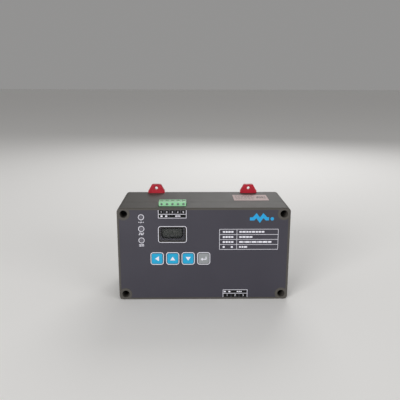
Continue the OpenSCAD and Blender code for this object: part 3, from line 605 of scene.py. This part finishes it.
# --- Circuit boards and their chips ---
# Green fibreglass boards, screwed to bosses in the cover. The chips are black epoxy, soldered
# down by tinned leads.
board_green, tree, shader = new_material("green solder mask", "#1a5e36", 0.3, IOR=1.5)
circuit(tree, shader, "#16552f", "#26753f", 3.1)
paint(board_green, "front_board", "main_board")


def chip_material(name, centre, half):
    """Black epoxy out to the body's half sizes in X and Z from its centre, and tin past them."""
    epoxy = "#1c1d1f"
    made, tree, shader = new_material(name, epoxy, 0.5, IOR=1.55)
    where = add(tree, "ShaderNodeTexCoord").outputs["Object"]
    offset = add(tree, "ShaderNodeVectorMath", {0: where, 1: (centre[0], 0, centre[1])},
                 operation="SUBTRACT").outputs[0]
    spread = add(tree, "ShaderNodeVectorMath", {0: offset}, operation="ABSOLUTE").outputs[0]
    past = add(tree, "ShaderNodeVectorMath", {0: spread, 1: (half[0], 0, half[1])},
               operation="SUBTRACT").outputs[0]
    axes = add(tree, "ShaderNodeSeparateXYZ", {0: past}).outputs
    tinned = compute(tree, "GREATER_THAN", compute(tree, "MAXIMUM", axes["X"], axes["Z"]), 0.0)
    tree.links.new(tinned, shader.inputs["Metallic"])
    grain(tree, shader, 0.3, 0.01, tone=0.08, colour=mix_colours(tree, tinned, srgb(epoxy), bare_tin))
    return made


chip_low, chip_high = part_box("controller_chip")
chip_x, chip_z = (chip_low.x + chip_high.x) / 2, (chip_low.z + chip_high.z) / 2
square_half = 6.0 * mm
paint(chip_material("square epoxy package", (chip_x, chip_z), (square_half, square_half)), "controller_chip")
row_low, row_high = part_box("interface_chips")
row_x = (row_low.x + row_high.x) / 2
# Their leads leave at the sides only, so the bound in Z lies far outside all three
narrow_half, no_bound = 2.0 * mm, 100 * mm
paint(chip_material("narrow epoxy package", (row_x, 0.0), (narrow_half, no_bound)), "interface_chips")

# Chip resistors of white ceramic, in rows beside the chips
ceramic, tree, shader = new_material("fired alumina ceramic", "#b9b5ab", 0.5, IOR=1.7)
grain(tree, shader, 0.3, 0.01)
parts_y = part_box("main_board")[0].y
resistor_places = [(chip_x + dx * mm, chip_z + dz * mm)
                   for dz in (-11.5, 11.5) for dx in np.arange(-8, 9, 2.6)]
resistor_places += [(row_x - 7.0 * mm, z) for z in np.arange(row_low.z, row_high.z, 3.4 * mm)]
resistor_w, resistor_h, resistor_t = 1.25 * mm, 2.0 * mm, 0.55 * mm
resistors = [patch(round_rect(x, z, resistor_w, resistor_h, 0.1 * mm, 3), parts_y - resistor_t, parts_y)
             for x, z in resistor_places]
build("resistors", resistors, ceramic, "housing")

# --- Power parts on the back of the main board ---
# A gapped ferrite core through a wound bobbin, three sealed relays, three electrolytic
# capacitors in vinyl sleeves, and a potted supply module.
ferrite, tree, shader = new_material("ground ferrite", "#3b3e41", 0.6)
grain(tree, shader, 0.4, 0.02)
paint(ferrite, "transformer_core")
cast_edges("transformer_core", 0.3 * mm)

# Enamelled wire shows through the outer tape as ribs 0.5 mm apart. At a scale of 1 the wave
# texture repeats every 2 pi / 20.
tape, tree, shader = new_material("polyester tape over wire", "#c9971c", 0.3, IOR=1.6)
grain(tree, shader, 0.4, 0.01)
where = add(tree, "ShaderNodeTexCoord").outputs["Object"]
wave_period, rib_pitch = 2 * math.pi / 20, 0.5 * mm
ribs = add(tree, "ShaderNodeTexWave", {"Vector": where, "Scale": wave_period / rib_pitch},
           bands_direction="Y")
ribbed = add(tree, "ShaderNodeBump", {"Height": ribs.outputs["Fac"], "Distance": 0.08 * mm, "Strength": 0.7})
tree.links.new(ribbed.outputs[0], shader.inputs["Normal"])
paint(tape, "transformer_winding")

relay_blue, tree, shader = new_material("blue moulded polyester", "#1f5fa8", 0.35, IOR=1.55)
grain(tree, shader, 0.4, 0.01)
paint(relay_blue, "relays")
cast_edges("relays", 0.5 * mm)

potting, tree, shader = new_material("potted black polyester", "#1b1c1e", 0.5, IOR=1.55)
grain(tree, shader, 0.5, 0.02)
paint(potting, "supply_module")
cast_edges("supply_module", 0.4 * mm)


def turned(profile, x, z, sides=40):
    """A lathed solid about a line along Y through (x, z): each row of the profile is a depth and
    a radius, and the ring there is that radius times the cosine and sine of the turn."""
    turn = np.linspace(0, 2 * math.pi, sides, endpoint=False)
    depth, radius = np.asarray(profile, float).T[:, :, None]
    ring = np.ones(sides)
    return loft(np.stack([x + radius * np.cos(turn), depth * ring, z + radius * np.sin(turn)], axis=-1))


can_low, can_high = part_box("capacitors")
can_r = (can_high.z - can_low.z) / 2
can_z = can_low.z + can_r
can_xs = np.linspace(can_low.x + can_r, can_high.x - can_r, 3)
foot, crown = can_low.y, can_high.y
sleeve_profile = [(foot + a * mm, can_r - b * mm) for a, b in (
    (0.0, 0.5), (0.1, 0.1), (0.4, 0.0), (1.5, 0.0), (1.9, 0.35), (2.4, 0.35), (2.8, 0.0), (15.2, 0.0),
    (15.6, 0.12), (15.8, 0.5), (15.8, 0.9))]
top_profile = [(crown - 0.25 * mm, can_r - 0.9 * mm), (crown - 0.02 * mm, can_r - 1.0 * mm),
               (crown - 0.02 * mm, can_r - 1.3 * mm), (crown - 0.12 * mm, can_r - 1.5 * mm)]
sleeve, tree, shader = new_material("shrunk vinyl sleeve", "#23262d", 0.3, IOR=1.53)
grain(tree, shader, 0.4, 0.01)
cans = build("capacitor_sleeves", [turned(sleeve_profile, x, can_z) for x in can_xs], sleeve,
             "housing", True)
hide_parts("capacitors")
aluminium, tree, shader = new_material("drawn aluminium", "#c3c5c7", 0.3, Metallic=1.0)
grain(tree, shader, 0.3, 0.003)
tops = build("capacitor_tops", [turned(top_profile, x, can_z) for x in can_xs], aluminium, "housing")
vinyl_white, tree, shader = new_material("white vinyl print", "#b9bcc2", 0.35, IOR=1.53)
grain(tree, shader, 0.3, 0.003)


def stripe(x, z, radius, start, end, depth0, depth1):
    """A printed band on a can: the strip between an arc of that radius and one a thickness inside
    it, at the first depth, carried to the second."""
    thickness, points = 0.05 * mm, 9
    outline = np.concatenate([arc(x, z, radius, start, end, points),
                              arc(x, z, radius - thickness, end, start, points)])
    return loft(np.stack([on_face(outline, depth0), on_face(outline, depth1)]))


stripe_r = can_r + 0.015 * mm
stripes = [stripe(x, can_z, stripe_r, 60, 120, foot + 3.2 * mm, foot + 15.0 * mm) for x in can_xs]
build("capacitor_stripes", stripes, vinyl_white, "housing")

# --- Terminals ---
# The five-pole plug and its header, and the socket below, are pale green polyamide. Each pole has
# a slotted screw that draws a brass cage up on to a tinned bar.
polyamide, tree, shader = new_material("pale green moulded polyamide", "#8cc698", 0.42, IOR=1.53)
grain(tree, shader, 0.35, 0.012, tone=0.06)
for node in ("supply_plug", "supply_header", "measure_header"):
    cast_edges(node, 0.2 * mm)
    paint(polyamide, node)
tin, tree, shader = new_material("tin-plated brass", "#cfd0cc", 0.3, Metallic=1.0)
grain(tree, shader, 0.3, 0.002)
paint(tin, "supply_header_pins", "measure_header_pins", "plug_contacts")
zinc, tree, shader = new_material("zinc-plated steel", "#8b8e91", 0.38, Metallic=1.0)
grain(tree, shader, 0.3, 0.004, tone=0.1)
brass, tree, shader = new_material("turned brass", "#c39b45", 0.3, Metallic=1.0)
grain(tree, shader, 0.3, 0.003)
for pole in range(1, 6):
    paint(zinc, f"clamp_screw_{pole}")
    cast_edges(f"clamp_screw_{pole}", 0.06 * mm)
    paint(brass, f"clamp_cage_{pole}")
    cast_edges(f"clamp_cage_{pole}", 0.1 * mm)

# --- Screws and inserts ---
# Zinc-plated pan-head screws with a cross recess. The cover's four run through the bottoms of
# deep wells into brass inserts in the rear casing.
for node in ("cover_screws", "front_board_screws", "main_board_screws"):
    cast_edges(node, 0.2 * mm)
    paint(zinc, node)
paint(brass, "cover_inserts")

# --- Rail latches ---
# Two slides of red polyamide that hook a 35 mm rail. Each runs in a notch of the rear casing, and a
# steel spring over its stop pushes it down.
latch_red, tree, shader = new_material("red moulded polyamide", "#a81529", 0.36, IOR=1.53)
grain(tree, shader, 0.3, 0.012, tone=0.07)
for side in ("left", "right"):
    cast_edges(f"latch_{side}", 0.35 * mm)
    paint(latch_red, f"latch_{side}")

wire_steel, tree, shader = new_material("spring steel wire", "#a9acb0", 0.25, Metallic=1.0)
grain(tree, shader, 0.3, 0.002)
wire_r = 0.25 * mm
turns = 6


def coil(x, y, low, high, radius):
    """A spring's wire: its middle runs round the axis at that radius and climbs evenly with the
    turn, and its section is a circle of the wire's radius in the plane of the axis."""
    turn_points, wire_sides = 40, 12
    turn = np.linspace(0, 2 * math.pi * turns, turns * turn_points + 1)[:, None]
    round_wire = np.linspace(0, 2 * math.pi, wire_sides, endpoint=False)[None, :]
    out = radius + wire_r * np.cos(round_wire)
    middle = low + wire_r + (high - low - 2 * wire_r) * turn / turn[-1]
    return loft(np.stack([x + out * np.cos(turn), y + out * np.sin(turn),
                          middle + wire_r * np.sin(round_wire)], axis=-1))


for side in ("left", "right"):
    low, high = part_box(f"latch_spring_{side}")
    middle_x, middle_y = (low.x + high.x) / 2, (low.y + high.y) / 2
    coil_r = (high.y - low.y) / 2 - wire_r
    spring = build(f"spring_{side}", [coil(middle_x, middle_y, low.z, high.z, coil_r)], wire_steel,
                   "housing", True)
    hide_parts(f"latch_spring_{side}")
    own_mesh(spring)

# --- Paper label ---
# A coated paper label on the top, printed with rows of small bars and a square code that holds
# nothing: its cells are drawn at random from a fixed seed.
paper, tree, shader = new_material("coated label paper", "#c4aca9", 0.6, IOR=1.45)
grain(tree, shader, 0.3, 0.003, tone=0.04)
paint(paper, "serial_label")
label_low, label_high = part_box("serial_label")
print_low, print_high = label_high.z - 0.01 * mm, label_high.z + 0.02 * mm


def on_label(x, y, width, depth):
    """A printed oblong on the label, from its near left corner."""
    corners = np.array([[x, y], [x + width, y], [x + width, y + depth], [x, y + depth]])
    layer = [np.column_stack([corners, np.full(4, z)]) for z in (print_low, print_high)]
    return loft(np.stack(layer))


draw = np.random.default_rng(7)
row_ys = label_high.y - np.array([4.2, 8.0, 11.8, 15.6, 19.4]) * mm
bar_depth, bar_gap = 1.2 * mm, 0.8 * mm
prints = []
for y in row_ys:
    x = label_low.x + 2.0 * mm
    for length in draw.uniform(1.2, 3.4, 6) * mm:
        prints.append(on_label(x, y, length, bar_depth))
        x += length + bar_gap
# Each mark is a little smaller than its cell, so that neighbours don't share a face
cell = 0.6 * mm
mark = cell * 0.98
cells = np.argwhere(draw.random((15, 15)) < 0.5)
code_x, code_y = label_high.x - 11.0 * mm, label_high.y - 16.0 * mm
prints += [on_label(code_x + i * cell, code_y + j * cell, mark, mark) for i, j in cells]
thermal_black, tree, shader = new_material("thermal print", "#4b4745", 0.6, IOR=1.45)
grain(tree, shader, 0.3, 0.002, tone=0.1)
build("label_print", prints, thermal_black, "housing")
